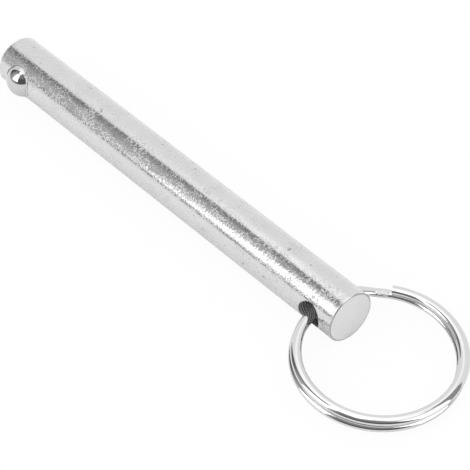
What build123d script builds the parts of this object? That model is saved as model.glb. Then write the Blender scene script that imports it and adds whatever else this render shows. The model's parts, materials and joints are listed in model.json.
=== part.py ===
from build123d import *
from math import asin, atan2, cos, degrees, radians, sin, sqrt, tan
import os

# Weight stack pin: a plain round steel pin with a sprung detent ball near its tip
# and a split ring through a cross hole at the other end.
# Units are millimetres. +X runs along the pin towards the ring, +Z is up, and the
# origin is on the pin's axis, halfway between the ball and the cross hole.
# The pin lies on its side and the ring rests on the same surface.

# ---- Driving dimensions ----------------------------------------------------
shank_dia = 9.525             # 3/8 in bar
ball_to_hole = 80.8           # detent ball to cross hole, along the pin
tip_length = 6.0              # beyond the ball
tail_length = 5.2             # beyond the cross hole
tip_chamfer = 0.5
tail_chamfer = 0.15

cross_hole_dia = 5.0
cross_hole_break = 0.12       # broken edge at both mouths

ball_dia = 6.35               # 1/4 in ball
ball_protrusion = 1.69        # how far it stands out of the shank at rest
ball_clocking = 8.0           # degrees up from the cross hole's direction, about the pin
ball_travel = 1.75            # pressed in, which leaves it just below the shank's surface
ball_clearance = 0.04         # radial, ball in its pocket and under the closed-in mouth
pocket_mouth_dia = 6.0        # opening left after the mouth is staked over the ball
pocket_depth = 6.4            # full-diameter depth below the shank's surface
drill_point_angle = 118.0     # of the pocket's bottom
lip_width = 0.32              # staked lip round the mouth
lip_height = 0.1

spring_dia = 4.0              # outside, detent spring
spring_wire = 0.35
spring_wire_sides = 8         # the wire is drawn with flat sides
spring_seat_gap = 0.05        # at the ball and at the pocket's bottom
spring_turn_gap = 0.01        # left between the turns with the ball pressed in

ring_dia = 29.7               # outside, split ring
wire_width = 1.9              # across the oval wire
wire_thickness = 1.2
wire_slant_width = 0.55       # of the slanting faces that round the wire off
wire_slant_height = 0.36
coil_gap = 0.05               # between the two coils where they cross over
coil_spread = 0.5             # extra gap on the side away from the crossover
coil_offset = 0.3             # sideways, one coil from the other
coil_offset_angle = 34.0      # its direction round the ring, from +X towards +Y
ring_side_shift = -1.2        # the ring hangs a little to the ball's side
wire_hole_gap = 0.04          # between the wire and the wall of the cross hole

upper_end = 127.8             # upper coil's cut end, degrees from +X towards +Y
crossover_start = 160.0       # the wire leaves the upper coil
crossover_end = 134.0         # and has reached the lower one
lower_end = 160.5             # lower coil's cut end
crossover_steps = 4

# ---- Sizes that follow -----------------------------------------------------
shank_radius = shank_dia / 2
ball_x = -ball_to_hole / 2
hole_x = ball_to_hole / 2
tip_x = ball_x - tip_length
tail_x = hole_x + tail_length
hole_radius = cross_hole_dia / 2
ball_radius = ball_dia / 2
ball_height = shank_radius + ball_protrusion - ball_radius
pocket_radius = ball_radius + ball_clearance
pocket_floor = shank_radius - pocket_depth
wire_circle = (ring_dia - wire_width) / 2


# ---- Shank -----------------------------------------------------------------
# The pocket's plane stands on the pin's axis with its Z out of the pocket's mouth.
pocket_axis = Vector(0, -1, 0).rotate(Axis.X, -ball_clocking)
pocket_plane = Plane(origin=(ball_x, 0, 0), x_dir=(1, 0, 0), z_dir=pocket_axis)
# Plane whose Y is the pocket's axis, for profiles that turn about it.
pocket_section = Plane(origin=(ball_x, 0, 0), x_dir=(1, 0, 0), z_dir=-pocket_plane.y_dir)
hole_plane = Plane(origin=(hole_x, 0, 0), x_dir=(1, 0, 0), z_dir=(0, -1, 0))

drill_point = pocket_radius / tan(radians(drill_point_angle / 2))
mouth_radius = pocket_mouth_dia / 2
lip_radius = mouth_radius + lip_width

with BuildPart() as shank:
    with BuildSketch(Plane.YZ.offset(tip_x)):
        Circle(shank_radius)
    extrude(amount=tail_x - tip_x)
    chamfer(shank.faces().sort_by(Axis.X)[0].edges(), tip_chamfer)
    chamfer(shank.faces().sort_by(Axis.X)[-1].edges(), tail_chamfer)

    # Cross hole for the ring, right through.
    with BuildSketch(hole_plane):
        Circle(hole_radius)
    extrude(amount=shank_dia, both=True, mode=Mode.SUBTRACT)
    hole_edges = shank.edges().filter_by_position(Axis.X, hole_x - hole_radius, hole_x + hole_radius)
    chamfer(hole_edges.filter_by(GeomType.LINE, reverse=True), cross_hole_break)

    # Staked lip: a low collar that follows the shank's surface.
    with BuildSketch(pocket_plane):
        Circle(lip_radius)
    extrude(amount=shank_dia)
    with BuildSketch(Plane.YZ.offset(ball_x - lip_radius)):
        Circle(2 * shank_dia)
        Circle(shank_radius + lip_height, mode=Mode.SUBTRACT)
    extrude(amount=2 * lip_radius, mode=Mode.SUBTRACT)

    # Ball pocket: drilled blind, its mouth closed in over the ball.
    with BuildSketch(pocket_section):
        with BuildLine():
            Polyline(
                (0, pocket_floor - drill_point),
                (pocket_radius, pocket_floor),
                (pocket_radius, ball_height),
            )
            RadiusArc((pocket_radius, ball_height), (0, ball_height + pocket_radius), -pocket_radius)
            Line((0, ball_height + pocket_radius), (0, pocket_floor - drill_point))
        make_face()
    revolve(axis=Axis((ball_x, 0, 0), pocket_axis), mode=Mode.SUBTRACT)
    with BuildSketch(pocket_plane.offset(ball_height)):
        Circle(mouth_radius)
    extrude(amount=shank_dia, mode=Mode.SUBTRACT)
shank.part.label = "shank"

# ---- Detent ball -----------------------------------------------------------
with BuildPart(pocket_plane.offset(ball_height)) as detent_ball:
    Sphere(ball_radius)
detent_ball.part.label = "detent_ball"

# ---- Detent spring ---------------------------------------------------------
# It stands on the pocket's cone and carries the ball on its last turn.
spring_radius = (spring_dia - spring_wire) / 2
wire_radius = spring_wire / 2
ball_reach = ball_radius + wire_radius + spring_seat_gap
spring_top = ball_height - sqrt(ball_reach**2 - spring_radius**2)
cone_slope = radians(drill_point_angle / 2)
cone_inset = (wire_radius + spring_seat_gap) / sin(cone_slope)
spring_foot = pocket_floor - (pocket_radius - spring_radius) / tan(cone_slope) + cone_inset
spring_length = spring_top - spring_foot
spring_turns = (spring_length - ball_travel) / (spring_wire + spring_turn_gap)

with BuildPart() as detent_spring:
    with BuildLine():
        spring_path = Helix(
            spring_length / spring_turns,
            spring_length,
            spring_radius,
            center=pocket_plane.offset(spring_foot).origin,
            direction=pocket_axis,
        )
    with BuildSketch(Plane(origin=spring_path @ 0, z_dir=spring_path % 0)):
        RegularPolygon(wire_radius, spring_wire_sides)
    sweep(path=spring_path, is_frenet=True)
detent_spring.part.label = "detent_spring"

# ---- Split ring ------------------------------------------------------------
# One length of oval wire wound nearly twice round. The lower coil lies in the ring's plane,
# which slopes down from the hole until its far edge meets the surface under the pin.
coil_pitch = wire_thickness + coil_gap
flat_half_width = wire_width / 2 - wire_slant_width
# The wire bows as it passes through the hole, and its corners bear on the hole's wall.
wire_sag = wire_circle - sqrt(wire_circle**2 - (shank_radius + abs(ring_side_shift)) ** 2)
wire_reach = hole_radius - wire_hole_gap
low_corner_depth = sqrt(wire_reach**2 - (flat_half_width + wire_sag / 2) ** 2)
side_corner_depth = sqrt(wire_reach**2 - (wire_width / 2 + wire_sag / 2) ** 2) + wire_slant_height
ring_depth = min(low_corner_depth, side_corner_depth)
wire_drop = ring_depth - wire_thickness / 2
ring_span = 2 * wire_circle - wire_sag / 2 + flat_half_width
ring_slope = asin(shank_radius / sqrt(ring_span**2 + ring_depth**2)) - atan2(ring_depth, ring_span)

ring_plane = Plane(
    origin=(hole_x, ring_side_shift, 0),
    x_dir=(cos(ring_slope), 0, -sin(ring_slope)),
    z_dir=(sin(ring_slope), 0, cos(ring_slope)),
)
lower_coil = ring_plane.offset(-wire_drop)
lower_coil.origin += ring_plane.x_dir * (wire_circle - wire_sag / 2)


def ring_direction(angle):
    """Direction from the ring's centre, in the lower coil's plane."""
    return lower_coil.x_dir * cos(radians(angle)) + lower_coil.y_dir * sin(radians(angle))


# The upper coil is lifted a little more on the side away from the crossover.
crossover_middle = ring_direction((crossover_start + crossover_end) / 2)
spread_axis = Axis((0, 0, 0), lower_coil.z_dir.cross(crossover_middle))
spread_angle = degrees(asin(coil_spread / (2 * wire_circle)))
coil_lift = lower_coil.z_dir * (coil_pitch + coil_spread / 2)
upper_coil = Plane(
    origin=lower_coil.origin + ring_direction(coil_offset_angle) * coil_offset + coil_lift,
    x_dir=lower_coil.x_dir.rotate(spread_axis, spread_angle),
    z_dir=lower_coil.z_dir.rotate(spread_axis, spread_angle),
)


def coil_section(coil, angle):
    """Plane across the wire of a coil, facing the way the wire runs."""
    outward = coil.x_dir * cos(radians(angle)) + coil.y_dir * sin(radians(angle))
    return Plane(
        origin=coil.origin + outward * wire_circle,
        x_dir=outward,
        z_dir=outward.cross(coil.z_dir),
    )


def crossover_section(step):
    """Plane across the wire where it passes from the upper coil to the lower one."""
    share = step / crossover_steps
    angle = crossover_start + (crossover_end - crossover_start) * share
    drop = share * share * (3 - 2 * share)
    high = coil_section(upper_coil, angle)
    low = coil_section(lower_coil, angle)
    return Plane(
        origin=high.origin * (1 - drop) + low.origin * drop,
        x_dir=high.x_dir * (1 - drop) + low.x_dir * drop,
        z_dir=high.z_dir * (1 - drop) + low.z_dir * drop,
    )


upper_arc = 360 - (crossover_start - upper_end)
lower_arc = 360 - (lower_end - crossover_end)
half_width = wire_width / 2
half_thickness = wire_thickness / 2
side_half_height = half_thickness - wire_slant_height

with BuildSketch() as oval_wire:
    with BuildLine():
        Polyline(
            (0, half_thickness),
            (flat_half_width, half_thickness),
            (half_width, side_half_height),
            (half_width, 0),
        )
        mirror(about=Plane.YZ)
        mirror(about=Plane.XZ)
    make_face()

with BuildPart() as split_ring:
    with BuildSketch(coil_section(upper_coil, upper_end)):
        add(oval_wire.sketch)
    revolve(axis=Axis(upper_coil.origin, -upper_coil.z_dir), revolution_arc=upper_arc)
    with BuildSketch(coil_section(lower_coil, crossover_end)):
        add(oval_wire.sketch)
    revolve(axis=Axis(lower_coil.origin, -lower_coil.z_dir), revolution_arc=lower_arc)
    for step in range(crossover_steps + 1):
        with BuildSketch(crossover_section(step)):
            add(oval_wire.sketch)
    loft()
split_ring.part.label = "split_ring"

# ---- Files -----------------------------------------------------------------
os.makedirs("parts", exist_ok=True)
export_step(shank.part, "parts/shank.step")
export_step(detent_ball.part, "parts/detent_ball.step")
export_step(detent_spring.part, "parts/detent_spring.step")
export_step(split_ring.part, "parts/split_ring.step")
print("ring slope", round(degrees(ring_slope), 2), "wire drop", round(wire_drop, 3))
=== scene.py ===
import json
from math import asin, atan2, cos, pi, radians, sin, sqrt

import bpy
from mathutils import Euler, Matrix, Vector


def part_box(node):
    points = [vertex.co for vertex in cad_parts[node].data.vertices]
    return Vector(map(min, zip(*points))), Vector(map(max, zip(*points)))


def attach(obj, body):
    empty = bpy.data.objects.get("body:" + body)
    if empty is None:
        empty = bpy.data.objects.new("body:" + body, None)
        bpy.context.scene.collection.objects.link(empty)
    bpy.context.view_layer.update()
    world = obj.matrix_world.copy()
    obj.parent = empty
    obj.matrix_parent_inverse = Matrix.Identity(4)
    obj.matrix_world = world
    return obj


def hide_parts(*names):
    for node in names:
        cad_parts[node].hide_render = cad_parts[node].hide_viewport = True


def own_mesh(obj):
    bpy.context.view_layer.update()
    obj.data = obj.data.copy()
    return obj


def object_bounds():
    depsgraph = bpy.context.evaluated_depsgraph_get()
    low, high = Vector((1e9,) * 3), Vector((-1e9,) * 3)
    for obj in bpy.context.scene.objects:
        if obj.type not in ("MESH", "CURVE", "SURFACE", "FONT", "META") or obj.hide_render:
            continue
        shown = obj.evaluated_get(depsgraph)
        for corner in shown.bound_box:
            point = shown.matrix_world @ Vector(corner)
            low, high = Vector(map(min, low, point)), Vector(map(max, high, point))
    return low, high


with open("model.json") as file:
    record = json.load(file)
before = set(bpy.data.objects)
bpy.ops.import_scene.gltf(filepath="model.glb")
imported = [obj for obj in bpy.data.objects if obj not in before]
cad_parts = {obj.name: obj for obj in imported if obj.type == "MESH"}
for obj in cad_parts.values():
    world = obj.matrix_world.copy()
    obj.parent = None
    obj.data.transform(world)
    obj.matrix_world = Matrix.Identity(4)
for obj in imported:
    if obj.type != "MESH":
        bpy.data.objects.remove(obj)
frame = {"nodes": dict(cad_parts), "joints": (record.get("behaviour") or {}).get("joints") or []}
cad_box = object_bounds()

# ---- Sizes -------------------------------------------------------------------
# Lengths are in metres. The pin's own sizes are the ones that its solids are built from, and
# places come from the frame, whose origin is on the shank's axis, halfway between the ball
# and the cross hole.
MM = 0.001
UP = Vector((0, 0, 1))

joints = {joint["name"]: joint for joint in frame["joints"]}
shank_low, shank_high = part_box("shank")

SHANK_RADIUS = 4.7625 * MM
SHANK_LENGTH = shank_high[0] - shank_low[0]
SHANK_MIDDLE = (shank_high[0] + shank_low[0]) / 2
HOLE_X = joints["ring_swing"]["pos_m"][0]       # the ring swings about the cross hole
HOLE_RADIUS = 2.5 * MM
POCKET_MIDDLE = Vector((-HOLE_X, 0, 0))
POCKET_AXIS = -Vector(joints["ball_press"]["axis"]).normalized()

RING_OUTSIDE = 29.7 * MM
WIRE_WIDTH = 1.9 * MM
WIRE_THICKNESS = 1.2 * MM
WIRE_CIRCLE = (RING_OUTSIDE - WIRE_WIDTH) / 2
WIRE_LEAN = radians(7.0)      # its top leans outwards from winding, unlike the solid's
# The solid's wire is rounded off by slanting faces, whose corners bear on the cross hole's wall.
WIRE_SLANT_WIDTH = 0.55 * MM
WIRE_SLANT_HEIGHT = 0.36 * MM
WIRE_HOLE_GAP = 0.04 * MM
COIL_GAP = 0.05 * MM          # between the two coils where they cross over
COIL_SPREAD = 0.5 * MM        # extra gap on the side away from the crossover
COIL_OFFSET = 0.3 * MM        # sideways, one coil from the other
RING_SIDE_SHIFT = -1.2 * MM   # the ring hangs a little to the ball's side
# Degrees round the ring, from +X towards +Y.
COIL_OFFSET_ANGLE = 34.0
UPPER_END = 127.8             # the upper coil's cut end
CROSSOVER_START = 160.0       # the wire leaves the upper coil
CROSSOVER_END = 134.0         # and has reached the lower one
LOWER_END = 160.5             # the lower coil's cut end
GRIP_MARK = 133.3             # where the coiling tool held the lower coil

SPRING_COIL_RADIUS = 1.825 * MM
SPRING_WIRE_RADIUS = 0.175 * MM
SPRING_FOOT = -2.2102 * MM    # first turn's centre, along the pocket's axis
SPRING_LENGTH = 2.619 * MM
SPRING_TURNS = 2.414

CAMERA_PLACE = (0.222387, -0.16387, 0.26272)
CAMERA_TURN = (44.79833, 2.63753, 48.86777)     # degrees about X, Y and Z
CAMERA_LENS = 163.74                            # for a sensor 36 mm wide

FLOOR_RADIUS = 4
KEY_PLACE = (-0.093, -0.265, 0.3975)
KEY_WIDTH = 0.23
KEY_HEIGHT = 0.605
KEY_WATTS = 0.73

# How finely the round pieces are divided.
RING_WIRE_SIDES = 28
RING_TURN_STEPS = 200
CROSSOVER_CUTS = 12
SPRING_WIRE_SIDES = 12
SPRING_STEPS = 120

# How large the metals' patterns are, and how deep their relief is, chosen to look like them.
PEEL_SIZE = 0.5 * MM
PEEL_DEPTH = 0.02 * MM
SPECK_SIZE = 0.35 * MM
PATCH_SIZE = 1.6 * MM
CLOUD_SIZE = 4.0 * MM
SCUFF_SIZE = 1.1 * MM
DRILL_TURN_SPACING = 0.5 * MM     # coarser than real ones, so that they show
DRILL_TURN_DEPTH = 0.05 * MM
NICKEL_WAVE_LENGTH = 1.5 * MM
NICKEL_WAVE_DEPTH = 0.015 * MM
GRIP_RADIUS = 1.25 * MM
GRIP_EDGE = 0.1 * MM
PIT_SIZE = 0.3 * MM
PIT_DEPTH = 0.12 * MM
HAZE_SIZE = 0.6 * MM
GRAIN_SIZE = 0.1 * MM
GRAIN_DEPTH = 0.004 * MM
WAVE_BAND_SPACING = 0.314         # between a wave texture's bands at scale 1


# ---- Small helpers -----------------------------------------------------------
def linear(hex_colour):
    """An sRGB hex colour as the linear RGBA that the shaders take."""
    channels = [int(hex_colour[i:i + 2], 16) / 255 for i in (1, 3, 5)]
    return [c / 12.92 if c <= 0.04045 else ((c + 0.055) / 1.055) ** 2.4 for c in channels] + [1.0]


def add_node(tree, kind, settings=()):
    """One node with its settings, by attribute, input name or input number.

    A setting that is another node's output becomes a link. A Mix node's inputs go by number:
    0 is the share of the second, 2 and 3 are its two numbers, 6 and 7 its two colours.
    """
    node = tree.nodes.new(kind)
    for key, value in dict(settings).items():
        if isinstance(value, bpy.types.NodeSocket):
            tree.links.new(value, node.inputs[key])
        elif isinstance(key, str) and hasattr(node, key):
            setattr(node, key, value)
        else:
            node.inputs[key].default_value = value
    return node


def deselect_all():
    if bpy.context.mode != "OBJECT":
        bpy.ops.object.mode_set(mode="OBJECT")
    bpy.ops.object.select_all(action="DESELECT")


def select_only(piece):
    deselect_all()
    piece.select_set(True)
    bpy.context.view_layer.objects.active = piece


def edit_whole(piece):
    """The piece alone open in edit mode, with all of its mesh selected."""
    select_only(piece)
    bpy.ops.object.mode_set(mode="EDIT")
    bpy.ops.mesh.select_all(action="SELECT")


def face_outwards():
    """Turns all faces of the mesh in edit mode outwards, and leaves edit mode."""
    bpy.ops.mesh.select_all(action="SELECT")
    bpy.ops.mesh.normals_make_consistent(inside=False)
    bpy.ops.object.mode_set(mode="OBJECT")


def place(piece, matrix):
    """Moves the piece to its place and puts that place in its mesh."""
    select_only(piece)
    piece.matrix_world = matrix
    bpy.ops.object.transform_apply(location=True, rotation=True, scale=True)


def toward(azimuth, elevation):
    """Unit vector: azimuth in degrees from +X towards +Y, elevation above the floor."""
    a, e = radians(azimuth), radians(elevation)
    return Vector((cos(a) * cos(e), sin(a) * cos(e), sin(e)))


# ---- Where the ring's coils lie ----------------------------------------------
# The wire bows as it passes through the cross hole, and bears on the hole's wall.
wire_flat = WIRE_WIDTH / 2 - WIRE_SLANT_WIDTH
wire_sag = WIRE_CIRCLE - sqrt(WIRE_CIRCLE**2 - (SHANK_RADIUS + abs(RING_SIDE_SHIFT)) ** 2)
wire_reach = HOLE_RADIUS - WIRE_HOLE_GAP
low_corner_depth = sqrt(wire_reach**2 - (wire_flat + wire_sag / 2) ** 2)
side_corner_depth = sqrt(wire_reach**2 - (WIRE_WIDTH / 2 + wire_sag / 2) ** 2) + WIRE_SLANT_HEIGHT
ring_depth = min(low_corner_depth, side_corner_depth)
# The ring slopes down from the hole until its far edge meets the surface under the pin.
ring_span = 2 * WIRE_CIRCLE - wire_sag / 2 + wire_flat
ring_slope = asin(SHANK_RADIUS / sqrt(ring_span**2 + ring_depth**2)) - atan2(ring_depth, ring_span)
ring_outward = Vector((cos(ring_slope), 0, -sin(ring_slope)))
ring_axis = Vector((sin(ring_slope), 0, cos(ring_slope)))


def ring_direction(angle):
    """Direction from the ring's centre, in the lower coil's plane."""
    return Matrix.Rotation(radians(angle), 3, ring_axis) @ ring_outward


# Centre and axis of each coil. The upper one is lifted more on the side away from the crossover.
lower_centre = (
    Vector((HOLE_X, RING_SIDE_SHIFT, 0))
    + ring_outward * (WIRE_CIRCLE - wire_sag / 2)
    - ring_axis * (ring_depth - WIRE_THICKNESS / 2)
)
upper_centre = (
    lower_centre
    + ring_direction(COIL_OFFSET_ANGLE) * COIL_OFFSET
    + ring_axis * (WIRE_THICKNESS + COIL_GAP + COIL_SPREAD / 2)
)
spread_axis = ring_axis.cross(ring_direction((CROSSOVER_START + CROSSOVER_END) / 2))
spread = Matrix.Rotation(asin(COIL_SPREAD / (2 * WIRE_CIRCLE)), 3, spread_axis)
LOWER_COIL = (lower_centre, ring_axis)
UPPER_COIL = (upper_centre, spread @ ring_axis)


def coil_section(coil, angle):
    """Place of the wire's section: X away from the coil's centre, Y along its axis."""
    centre, axis = coil
    outward = Vector((1, 0, -axis.x / axis.z)).normalized()
    outward = Matrix.Rotation(radians(angle), 3, axis) @ outward
    across = outward * cos(WIRE_LEAN) - axis * sin(WIRE_LEAN)
    up = axis * cos(WIRE_LEAN) + outward * sin(WIRE_LEAN)
    turned = Matrix((across, up, across.cross(up))).transposed().to_4x4()
    return Matrix.Translation(centre + outward * WIRE_CIRCLE) @ turned


# ---- Camera ------------------------------------------------------------------
camera_data = bpy.data.cameras.new("photo_camera")
camera_data.lens = CAMERA_LENS
camera_data.sensor_width = 36
camera_data.clip_start = 0.01
camera_data.clip_end = 20
camera = bpy.data.objects.new("photo_camera", camera_data)
bpy.context.scene.collection.objects.link(camera)
bpy.context.scene.camera = camera
camera_turn = Euler([radians(angle) for angle in CAMERA_TURN])
camera.matrix_world = Matrix.Translation(CAMERA_PLACE) @ camera_turn.to_matrix().to_4x4()


# ---- Floor -------------------------------------------------------------------
def white_paper_sweep():
    """White paper, seen as the plain white background with a little of its own shading left
    in, so that it keeps the shadow under the pin. Metal shows more of that shading."""
    paper = bpy.data.materials.new("white_paper_sweep")
    paper.use_nodes = True
    tree = paper.node_tree
    tree.nodes.clear()
    diffuse = add_node(tree, "ShaderNodeBsdfDiffuse", {"Color": linear("#f2f2f2")})
    background = add_node(tree, "ShaderNodeEmission", {"Color": linear("#ffffff"), "Strength": 1.0})
    rays = add_node(tree, "ShaderNodeLightPath").outputs
    looked_at = add_node(
        tree,
        "ShaderNodeMath",
        {"operation": "MAXIMUM", 0: rays["Is Camera Ray"], 1: rays["Is Transmission Ray"]},
    )
    directly = add_node(
        tree, "ShaderNodeMath", {"operation": "MULTIPLY", 0: looked_at.outputs[0], 1: 0.93}
    )
    in_metal = add_node(
        tree, "ShaderNodeMath", {"operation": "MULTIPLY", 0: rays["Is Glossy Ray"], 1: 0.1}
    )
    plain_share = add_node(
        tree,
        "ShaderNodeMath",
        {"operation": "MAXIMUM", 0: directly.outputs[0], 1: in_metal.outputs[0]},
    )
    seen = add_node(
        tree,
        "ShaderNodeMixShader",
        {0: plain_share.outputs[0], 1: diffuse.outputs[0], 2: background.outputs[0]},
    )
    add_node(tree, "ShaderNodeOutputMaterial", {"Surface": seen.outputs[0]})
    return paper


deselect_all()
bpy.ops.mesh.primitive_circle_add(
    vertices=64, radius=FLOOR_RADIUS, fill_type="NGON", location=(0, 0, cad_box[0][2])
)
floor = bpy.context.object
floor.name = "floor"
floor.data.materials.append(white_paper_sweep())

# ---- Studio ------------------------------------------------------------------
# The world is plain white light. Metal sees the studio instead: white walls behind the
# pin, a darker room in front of it, a softbox in front and a smaller one overhead.
world = bpy.data.worlds.new("studio")
bpy.context.scene.world = world
world.use_nodes = True
studio_tree = world.node_tree
studio_tree.nodes.clear()
reflected = add_node(studio_tree, "ShaderNodeTexCoord").outputs["Generated"]


def fade(way, start, end, low=0.0, high=1.0):
    """Brightness that goes smoothly from low to high as the reflected direction turns the
    given way: start and end say how far it leans that way, from -1 to 1."""
    leaning = add_node(
        studio_tree, "ShaderNodeVectorMath", {"operation": "DOT_PRODUCT", 0: reflected, 1: way}
    )
    return add_node(
        studio_tree,
        "ShaderNodeMapRange",
        {
            "interpolation_type": "SMOOTHSTEP",
            "Value": leaning.outputs["Value"],
            "From Min": start,
            "From Max": end,
            "To Min": low,
            "To Max": high,
        },
    ).outputs["Result"]


def softbox(centre, side, half_width, half_height, edge, brightness):
    """The brightness inside a rectangle seen round the centre direction, 0 outside it."""
    facing = add_node(
        studio_tree, "ShaderNodeVectorMath", {"operation": "DOT_PRODUCT", 0: reflected, 1: centre}
    )
    within = []
    for way, half_size in ((side, half_width), (centre.cross(side), half_height)):
        sideways = add_node(
            studio_tree, "ShaderNodeVectorMath", {"operation": "DOT_PRODUCT", 0: reflected, 1: way}
        )
        on_panel = add_node(
            studio_tree,
            "ShaderNodeMath",
            {"operation": "DIVIDE", 0: sideways.outputs["Value"], 1: facing.outputs["Value"]},
        )
        from_centre = add_node(
            studio_tree, "ShaderNodeMath", {"operation": "ABSOLUTE", 0: on_panel.outputs[0]}
        )
        inside = add_node(
            studio_tree,
            "ShaderNodeMapRange",
            {
                "interpolation_type": "SMOOTHSTEP",
                "Value": from_centre.outputs[0],
                "From Min": half_size - edge,
                "From Max": half_size + edge,
                "To Min": 1.0,
                "To Max": 0.0,
            },
        )
        within.append(inside.outputs["Result"])
    panel = add_node(
        studio_tree, "ShaderNodeMath", {"operation": "MULTIPLY", 0: within[0], 1: within[1]}
    )
    ahead = add_node(
        studio_tree,
        "ShaderNodeMath",
        {"operation": "MULTIPLY", 0: panel.outputs[0], 1: fade(centre, 0.0, 0.1)},
    )
    return add_node(
        studio_tree, "ShaderNodeMath", {"operation": "MULTIPLY", 0: ahead.outputs[0], 1: brightness}
    ).outputs[0]


# The room in front: dark, but for the floor's horizon and the glow round the key softbox.
horizon = add_node(
    studio_tree,
    "ShaderNodeMath",
    {"operation": "ADD", 0: fade(UP, 0.09, 0.2, 0.98, 0.12), 1: fade(UP, 0.66, 0.76, 0.0, 0.16)},
)
glow = add_node(
    studio_tree,
    "ShaderNodeMath",
    {
        "operation": "MULTIPLY",
        0: fade(toward(-122, 28), 0.78, 0.99, 0.0, 0.4),
        1: fade(UP, 0.14, 0.24),
    },
)
room = add_node(
    studio_tree, "ShaderNodeMath", {"operation": "ADD", 0: horizon.outputs[0], 1: glow.outputs[0]}
)
# The white walls behind brighten towards the lights overhead, and end in a dark gap.
bare_walls = add_node(
    studio_tree,
    "ShaderNodeMath",
    {"operation": "ADD", 0: fade(toward(135, 78), 0.84, 0.97, 0.0, 0.42), 1: 0.95},
)
gap = add_node(
    studio_tree,
    "ShaderNodeMath",
    {
        "operation": "MULTIPLY",
        0: fade(toward(-36.9418, 21.3164), -0.02, 0.03),
        1: fade(UP, 0.88, 0.93, 0.65, 0.0),
    },
)
beside_gap = add_node(
    studio_tree, "ShaderNodeMath", {"operation": "SUBTRACT", 0: 1.0, 1: gap.outputs[0]}
)
walls = add_node(
    studio_tree,
    "ShaderNodeMath",
    {"operation": "MULTIPLY", 0: bare_walls.outputs[0], 1: beside_gap.outputs[0]},
)
surround = add_node(
    studio_tree,
    "ShaderNodeMix",
    {
        "data_type": "FLOAT",
        0: fade(Vector((0, -1, 0)), 0.04, 0.055),
        2: walls.outputs[0],
        3: room.outputs[0],
    },
)

front_softbox = softbox(toward(20, 32), toward(110, 0), 0.36, 0.58, 0.02, 1.7)
top_centre = toward(-110, 83)
top_side = Vector((1, 0, 0)).cross(top_centre).normalized()
top_softbox = softbox(top_centre, top_side, 0.19, 0.19, 0.04, 1.75)
softboxes = add_node(
    studio_tree, "ShaderNodeMath", {"operation": "MAXIMUM", 0: front_softbox, 1: top_softbox}
)
studio_light = add_node(
    studio_tree,
    "ShaderNodeMath",
    {"operation": "MAXIMUM", 0: surround.outputs[0], 1: softboxes.outputs[0]},
)
plain_white = add_node(
    studio_tree, "ShaderNodeBackground", {"Color": linear("#ffffff"), "Strength": 1.0}
)
seen_in_metal = add_node(
    studio_tree,
    "ShaderNodeBackground",
    {"Color": linear("#ffffff"), "Strength": studio_light.outputs[0]},
)
world_light = add_node(
    studio_tree,
    "ShaderNodeMixShader",
    {
        0: add_node(studio_tree, "ShaderNodeLightPath").outputs["Is Glossy Ray"],
        1: plain_white.outputs[0],
        2: seen_in_metal.outputs[0],
    },
)
add_node(studio_tree, "ShaderNodeOutputWorld", {"Surface": world_light.outputs[0]})

# The key softbox: an upright panel in front of the pin, to its left.
key_data = bpy.data.lights.new("key_softbox", "AREA")
key_data.shape = "RECTANGLE"
key_data.size = KEY_WIDTH
key_data.size_y = KEY_HEIGHT
key_data.energy = KEY_WATTS
key = bpy.data.objects.new("key_softbox", key_data)
bpy.context.scene.collection.objects.link(key)
key.location = KEY_PLACE
key.rotation_euler = (pi / 2, 0, 0)
key.visible_camera = False

bpy.context.scene.view_settings.view_transform = "Standard"


# ---- Metals ------------------------------------------------------------------
def start_metal(name, colour, roughness):
    """A new metal of a plain colour and roughness, on which patterns are then laid.

    Returns the material, its node tree, its shader and the place on the piece.
    """
    material = bpy.data.materials.new(name)
    material.use_nodes = True
    tree = material.node_tree
    tree.nodes.clear()
    shader = add_node(
        tree,
        "ShaderNodeBsdfPrincipled",
        {"Base Color": linear(colour), "Metallic": 1.0, "Roughness": roughness},
    )
    add_node(tree, "ShaderNodeOutputMaterial", {"Surface": shader.outputs[0]})
    spot = add_node(tree, "ShaderNodeTexCoord").outputs["Object"]
    return material, tree, shader, spot


def plate_roughness(tree, spot):
    """Matt specks between bright plate, in patches that are drawn out along the bar."""
    specks = add_node(
        tree, "ShaderNodeTexNoise", {"Vector": spot, "Scale": 1 / SPECK_SIZE, "Detail": 1.0}
    )
    drawn_out = add_node(
        tree,
        "ShaderNodeVectorMath",
        {"operation": "MULTIPLY", 0: spot, 1: Vector((0.35, 1, 1))},
    )
    patches = add_node(
        tree,
        "ShaderNodeTexNoise",
        {"Vector": drawn_out.outputs[0], "Scale": 1 / PATCH_SIZE, "Detail": 2.0},
    )
    speck_roughness = add_node(
        tree,
        "ShaderNodeMapRange",
        {
            "Value": patches.outputs["Fac"],
            "From Min": 0.35,
            "From Max": 0.65,
            "To Min": 0.22,
            "To Max": 0.75,
        },
    )
    return add_node(
        tree,
        "ShaderNodeMapRange",
        {
            "Value": specks.outputs["Fac"],
            "From Min": 0.44,
            "From Max": 0.64,
            "To Min": 0.1,
            "To Max": speck_roughness.outputs["Result"],
        },
    ).outputs["Result"]


def plate_tint(tree, spot, cloud):
    """Faint clouds, and a few small grey scuffs where the plate is rubbed."""
    clouded = add_node(
        tree,
        "ShaderNodeMix",
        {"data_type": "RGBA", 0: cloud, 6: linear("#d2d2d2"), 7: linear("#e2e2e2")},
    )
    rubs = add_node(
        tree, "ShaderNodeTexNoise", {"Vector": spot, "Scale": 1 / SCUFF_SIZE, "Detail": 3.0}
    )
    scuffs = add_node(
        tree,
        "ShaderNodeMapRange",
        {"Value": rubs.outputs["Fac"], "From Min": 0.66, "From Max": 0.74},
    )
    return add_node(
        tree,
        "ShaderNodeMix",
        {
            "data_type": "RGBA",
            0: scuffs.outputs["Result"],
            6: clouded.outputs[2],
            7: linear("#a4a4a4"),
        },
    ).outputs[2]


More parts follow.
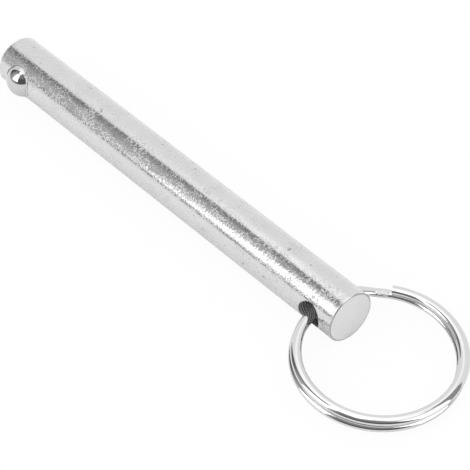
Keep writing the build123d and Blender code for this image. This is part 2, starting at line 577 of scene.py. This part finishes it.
def end_share(tree, spot):
    """1 on the shank's two faced ends, 0 along the bar."""
    along_bar = add_node(tree, "ShaderNodeSeparateXYZ", {0: spot})
    past_middle = add_node(
        tree,
        "ShaderNodeMath",
        {"operation": "SUBTRACT", 0: along_bar.outputs["X"], 1: SHANK_MIDDLE},
    )
    from_middle = add_node(
        tree, "ShaderNodeMath", {"operation": "ABSOLUTE", 0: past_middle.outputs[0]}
    )
    return add_node(
        tree,
        "ShaderNodeMapRange",
        {
            "Value": from_middle.outputs[0],
            "From Min": SHANK_LENGTH / 2 - 0.15 * MM,
            "From Max": SHANK_LENGTH / 2 - 0.05 * MM,
        },
    ).outputs["Result"]


def end_tint_painted_light_and_shade(tree, spot, cloud):
    """The faced ends, their colour painted lighter to stand in for the light their faces reflect, with a
    thin dark line of painted shade round them.
    """
    # Painted light: the faced end gets a lighter colour than the plate, to brighten its reflection of
    # the shaded floor.
    faced = add_node(
        tree,
        "ShaderNodeMix",
        {"data_type": "RGBA", 0: cloud, 6: linear("#e2e2e2"), 7: linear("#f0f0f0")},
    )
    off_axis = add_node(
        tree,
        "ShaderNodeVectorMath",
        {"operation": "MULTIPLY", 0: spot, 1: Vector((0, 1, 1))},
    )
    from_axis = add_node(
        tree, "ShaderNodeVectorMath", {"operation": "LENGTH", 0: off_axis.outputs[0]}
    )
    # Painted shade: a thin dark line round the end face's edge, where its rounded corner would reflect
    # darker surroundings.
    painted_shade_rim = add_node(
        tree,
        "ShaderNodeMapRange",
        {
            "Value": from_axis.outputs["Value"],
            "From Min": SHANK_RADIUS - 0.36 * MM,
            "From Max": SHANK_RADIUS - 0.22 * MM,
        },
    )
    return add_node(
        tree,
        "ShaderNodeMix",
        {"data_type": "RGBA", 0: painted_shade_rim.outputs["Result"], 6: faced.outputs[2], 7: linear("#b4b4b4")},
    ).outputs[2]


def hole_share(tree, spot):
    """1 on the wall of the cross hole, 0 outside it."""
    from_hole = add_node(
        tree,
        "ShaderNodeVectorMath",
        {"operation": "SUBTRACT", 0: spot, 1: Vector((HOLE_X, 0, 0))},
    )
    across_hole = add_node(
        tree,
        "ShaderNodeVectorMath",
        {"operation": "MULTIPLY", 0: from_hole.outputs[0], 1: Vector((1, 0, 1))},
    )
    hole_distance = add_node(
        tree, "ShaderNodeVectorMath", {"operation": "LENGTH", 0: across_hole.outputs[0]}
    )
    return add_node(
        tree,
        "ShaderNodeMapRange",
        {
            "Value": hole_distance.outputs["Value"],
            "From Min": HOLE_RADIUS + 0.1 * MM,
            "From Max": HOLE_RADIUS + 0.02 * MM,
        },
    ).outputs["Result"]


def zinc_plated_steel():
    """Bright zinc plate on ground steel bar: silvery, with a fine orange peel and matt specks
    that break every reflection's edge, and faint clouds. The two ends are faced smooth, and
    inside the cross hole it is rough drilled steel."""
    zinc, tree, shader, spot = start_metal("zinc_plated_steel", "#dadada", 0.2)
    on_end = end_share(tree, spot)
    in_hole = hole_share(tree, spot)
    bar_roughness = add_node(
        tree, "ShaderNodeMix", {"data_type": "FLOAT", 0: on_end, 2: plate_roughness(tree, spot), 3: 0.42}
    )
    roughness = add_node(
        tree, "ShaderNodeMix", {"data_type": "FLOAT", 0: in_hole, 2: bar_roughness.outputs[0], 3: 0.55}
    )
    tree.links.new(roughness.outputs[0], shader.inputs["Roughness"])

    # Orange peel.
    peel = add_node(
        tree, "ShaderNodeTexNoise", {"Vector": spot, "Scale": 1 / PEEL_SIZE, "Detail": 1.0}
    )
    peel_bump = add_node(
        tree,
        "ShaderNodeBump",
        {"Height": peel.outputs["Fac"], "Strength": 1.0, "Distance": PEEL_DEPTH},
    )
    # The drill's turns in the cross hole.
    turns = add_node(
        tree,
        "ShaderNodeTexWave",
        {
            "Vector": spot,
            "bands_direction": "Y",
            "Scale": WAVE_BAND_SPACING / DRILL_TURN_SPACING,
            "Distortion": 3.0,
            "Detail": 2.0,
            "Detail Scale": 2.0,
        },
    ).outputs["Fac"]
    hole_turns = add_node(tree, "ShaderNodeMath", {"operation": "MULTIPLY", 0: turns, 1: in_hole})
    drill_bump = add_node(
        tree,
        "ShaderNodeBump",
        {
            "Height": hole_turns.outputs[0],
            "Normal": peel_bump.outputs["Normal"],
            "Strength": 1.0,
            "Distance": DRILL_TURN_DEPTH,
        },
    )
    tree.links.new(drill_bump.outputs["Normal"], shader.inputs["Normal"])

    cloud = add_node(
        tree,
        "ShaderNodeTexNoise",
        {"Vector": spot, "Scale": 1 / CLOUD_SIZE, "Detail": 4.0, "Roughness": 0.6},
    ).outputs["Fac"]
    # On the faced ends the colour carries painted light and a thin rim of painted shade.
    bar_tint = add_node(
        tree,
        "ShaderNodeMix",
        {
            "data_type": "RGBA",
            0: on_end,
            6: plate_tint(tree, spot, cloud),
            7: end_tint_painted_light_and_shade(tree, spot, cloud),
        },
    )
    drilled_tint = add_node(
        tree,
        "ShaderNodeMix",
        {"data_type": "RGBA", 0: turns, 6: linear("#8c8c8c"), 7: linear("#f4f4f4")},
    )
    steel_tint = add_node(
        tree,
        "ShaderNodeMix",
        {"data_type": "RGBA", 0: in_hole, 6: bar_tint.outputs[2], 7: drilled_tint.outputs[2]},
    )
    tree.links.new(steel_tint.outputs[2], shader.inputs["Base Color"])
    return zinc


def nickel_plated_ring():
    """Bright nickel on spring steel wire: a clean mirror with the slight waves of rolled wire,
    and fine pits where the coiling tool gripped it, by the upper coil's cut end."""
    nickel, tree, shader, spot = start_metal("nickel_plated_ring", "#dedede", 0.05)
    waves = add_node(
        tree, "ShaderNodeTexNoise", {"Vector": spot, "Scale": 1 / NICKEL_WAVE_LENGTH, "Detail": 1.0}
    )
    wave_bump = add_node(
        tree,
        "ShaderNodeBump",
        {"Height": waves.outputs["Fac"], "Strength": 1.0, "Distance": NICKEL_WAVE_DEPTH},
    )
    from_grip = add_node(
        tree,
        "ShaderNodeVectorMath",
        {"operation": "DISTANCE", 0: spot, 1: coil_section(LOWER_COIL, GRIP_MARK).translation},
    )
    gripped = add_node(
        tree,
        "ShaderNodeMapRange",
        {
            "Value": from_grip.outputs["Value"],
            "From Min": GRIP_RADIUS + GRIP_EDGE,
            "From Max": GRIP_RADIUS - GRIP_EDGE,
        },
    ).outputs["Result"]
    pits = add_node(
        tree, "ShaderNodeTexNoise", {"Vector": spot, "Scale": 1 / PIT_SIZE, "Detail": 2.0}
    )
    pit_depth = add_node(
        tree, "ShaderNodeMath", {"operation": "MULTIPLY", 0: pits.outputs["Fac"], 1: gripped}
    )
    pit_bump = add_node(
        tree,
        "ShaderNodeBump",
        {
            "Height": pit_depth.outputs[0],
            "Normal": wave_bump.outputs["Normal"],
            "Strength": 1.0,
            "Distance": PIT_DEPTH,
        },
    )
    tree.links.new(pit_bump.outputs["Normal"], shader.inputs["Normal"])
    pit_roughness = add_node(
        tree, "ShaderNodeMapRange", {"Value": gripped, "To Min": 0.05, "To Max": 0.3}
    )
    tree.links.new(pit_roughness.outputs["Result"], shader.inputs["Roughness"])
    return nickel


def polished_ball_steel():
    """Hardened bearing ball: polished steel with a faint haze."""
    ball_steel, tree, shader, spot = start_metal("polished_ball_steel", "#cecece", 0.03)
    haze = add_node(
        tree, "ShaderNodeTexNoise", {"Vector": spot, "Scale": 1 / HAZE_SIZE, "Detail": 2.0}
    )
    polish = add_node(
        tree, "ShaderNodeMapRange", {"Value": haze.outputs["Fac"], "To Min": 0.02, "To Max": 0.06}
    )
    tree.links.new(polish.outputs["Result"], shader.inputs["Roughness"])
    return ball_steel


def spring_wire():
    """Drawn music wire: duller, with a fine grain from the die."""
    music_wire, tree, shader, spot = start_metal("spring_wire", "#b8b8b8", 0.28)
    grain = add_node(
        tree, "ShaderNodeTexNoise", {"Vector": spot, "Scale": 1 / GRAIN_SIZE, "Detail": 2.0}
    )
    grain_bump = add_node(
        tree,
        "ShaderNodeBump",
        {"Height": grain.outputs["Fac"], "Strength": 0.5, "Distance": GRAIN_DEPTH},
    )
    tree.links.new(grain_bump.outputs["Normal"], shader.inputs["Normal"])
    return music_wire


def finish_piece(piece, name, material, body, node):
    """Names the piece, gives it its metal and hands it to its body in place of the node."""
    piece.name = name
    piece.data.name = name
    piece.data.materials.clear()
    piece.data.materials.append(material)
    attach(piece, body)
    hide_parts(node)


# ---- Shank and ball ----------------------------------------------------------
for node_name, metal in (("shank", zinc_plated_steel()), ("detent_ball", polished_ball_steel())):
    for material_slot in frame["nodes"][node_name].material_slots:
        material_slot.material = metal


# ---- Split ring --------------------------------------------------------------
def wound_coil(coil, start, arc):
    """The oval wire wound from the start angle clockwise seen from above."""
    deselect_all()
    bpy.ops.mesh.primitive_circle_add(vertices=RING_WIRE_SIDES, radius=0.5, fill_type="NGON")
    piece = bpy.context.object
    edit_whole(piece)
    bpy.ops.transform.resize(value=(WIRE_WIDTH, WIRE_THICKNESS, 1))
    place(piece, coil_section(coil, start))
    edit_whole(piece)
    bpy.ops.mesh.spin(steps=RING_TURN_STEPS, angle=radians(arc), center=coil[0], axis=coil[1])
    bpy.ops.object.mode_set(mode="OBJECT")
    return piece


ring = wound_coil(UPPER_COIL, UPPER_END, 360 - (CROSSOVER_START - UPPER_END))
lower_turn = wound_coil(LOWER_COIL, CROSSOVER_END, 360 - (LOWER_END - CROSSOVER_END))
select_only(ring)
lower_turn.select_set(True)
bpy.ops.object.join()
edit_whole(ring)
bpy.ops.mesh.remove_doubles(threshold=0.001 * MM)
bpy.ops.mesh.select_all(action="DESELECT")
bpy.ops.object.mode_set(mode="OBJECT")

# The crossover joins the upper coil's end to the lower coil's start.
crossover_ends = (
    coil_section(UPPER_COIL, CROSSOVER_START).translation,
    coil_section(LOWER_COIL, CROSSOVER_END).translation,
)
for face in ring.data.polygons:
    distance = min((face.center - end).length for end in crossover_ends)
    face.select = len(face.vertices) == RING_WIRE_SIDES and distance < 0.05 * MM
bpy.ops.object.mode_set(mode="EDIT")
bpy.ops.mesh.select_mode(type="FACE")
bpy.ops.mesh.bridge_edge_loops(number_cuts=CROSSOVER_CUTS, interpolation="SURFACE", smoothness=1.0)
face_outwards()
bpy.ops.object.shade_smooth_by_angle(angle=radians(35))
finish_piece(ring, "split_ring_wire", nickel_plated_ring(), "ring", "split_ring")

# ---- Detent spring -----------------------------------------------------------
deselect_all()
bpy.ops.mesh.primitive_circle_add(
    vertices=SPRING_WIRE_SIDES, radius=SPRING_WIRE_RADIUS, rotation=(pi / 2, 0, 0)
)
spring = bpy.context.object
place(spring, Matrix.Translation((SPRING_COIL_RADIUS, 0, 0)) @ spring.matrix_world.copy())
screw = spring.modifiers.new("turns", "SCREW")
screw.angle = 2 * pi * SPRING_TURNS
screw.screw_offset = SPRING_LENGTH
screw.steps = screw.render_steps = SPRING_STEPS
screw.use_merge_vertices = False
bpy.ops.object.modifier_apply(modifier=screw.name)
edit_whole(spring)
bpy.ops.mesh.remove_doubles(threshold=0.0005 * MM)
# The two open ends of the wire are closed.
bpy.ops.mesh.select_mode(type="EDGE")
bpy.ops.mesh.select_non_manifold()
bpy.ops.mesh.edge_face_add()
face_outwards()
upright = UP.rotation_difference(POCKET_AXIS).to_matrix().to_4x4()
place(spring, Matrix.Translation(POCKET_MIDDLE + POCKET_AXIS * SPRING_FOOT) @ upright)
bpy.ops.object.shade_smooth_by_angle(angle=radians(50))
finish_piece(spring, "detent_spring_wire", spring_wire(), "pin", "detent_spring")
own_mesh(spring)
